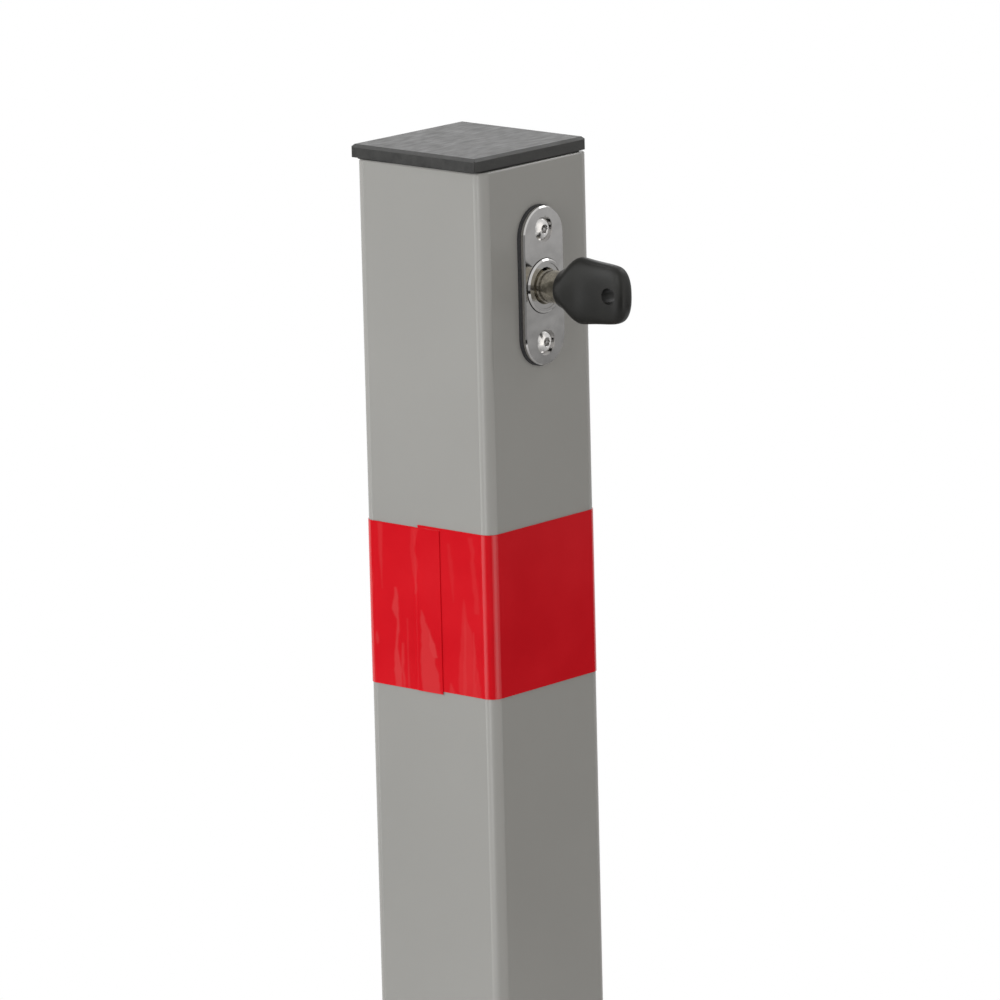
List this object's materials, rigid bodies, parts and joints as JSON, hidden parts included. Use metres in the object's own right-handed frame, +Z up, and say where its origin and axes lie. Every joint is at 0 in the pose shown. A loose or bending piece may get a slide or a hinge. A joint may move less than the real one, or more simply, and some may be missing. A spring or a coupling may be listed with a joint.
{
  "type": "folding security barrier",
  "caption": "Fold-down square steel parking post with a red reflective band, plastic cap, key lock near the top, internal locking rod and a hinged base plate.",
  "frame": {"origin": "centre of the base plate's underside, on the ground", "axes": "+Z up along the standing post, -Y towards the lock's face, X along the pivot bolt; the post folds back towards +Y"},
  "size_m": [0.12, 0.16, 0.7],
  "materials": {
    "grey_paint": "satin grey powder coat",
    "zinc_steel": "bright zinc plate",
    "natural_nylon": "natural nylon",
    "black_plastic": "fine textured black moulding",
    "grip_plastic": "smooth black grip moulding",
    "red_tape": "glossy reflective tape",
    "gasket_rubber": "matt black rubber",
    "polished_chrome": "polished chrome plate",
    "polished_steel": "polished stainless steel",
    "nickel": "warm nickel plate"
  },
  "bodies": {
    "base": {"base_plate": "grey_paint", "cheek_left": "grey_paint", "cheek_right": "grey_paint", "keeper_bar": "grey_paint", "base_welds": "grey_paint", "pivot_bolt": "zinc_steel", "pivot_nut": "zinc_steel", "pivot_washers": "zinc_steel", "pivot_sleeve": "zinc_steel"},
    "post": {"post_tube": "grey_paint", "pivot_bushes": "natural_nylon", "guide_block": "black_plastic", "guide_screws": "zinc_steel", "rod_guide": "natural_nylon", "red_tape": "red_tape", "top_cap": "black_plastic", "lock_gasket": "gasket_rubber", "lock_plate": "polished_chrome", "lock_plate_screws": "polished_steel", "lock_housing": "polished_chrome"},
    "plug": {"lock_plug": "polished_chrome", "tumbler_pins": "polished_steel", "cam": "zinc_steel", "crank_pin": "polished_steel", "cam_screw": "zinc_steel"},
    "rod": {"lock_rod": "zinc_steel", "yoke": "zinc_steel", "yoke_rivets": "zinc_steel", "lock_bolt": "zinc_steel", "bolt_pin": "polished_steel"},
    "key": {"key_barrel": "nickel", "key_bow": "grip_plastic"}
  },
  "joints": [
    {"name": "fold", "type": "hinge", "parent": "base", "child": "post", "pos_m": [0, 0.012, 0.035], "axis": [-1, 0, 0], "range_deg": [0, 90]},
    {"name": "key_turn", "type": "hinge", "parent": "post", "child": "plug", "pos_m": [0, -0.0125, 0.6584], "axis": [0, 1, 0], "range_deg": [0, 90]},
    {"name": "rod_slide", "type": "slide", "parent": "post", "child": "rod", "axis": [0, 0, -1], "range_m": [0, 0.01131]},
    {"name": "key_withdraw", "type": "slide", "parent": "plug", "child": "key", "axis": [0, -1, 0], "range_m": [0, 0.03]}
  ],
  "couplings": [
    {"joint": "key_turn", "follows": "rod_slide", "rad_per_m": 138.88}
  ]
}
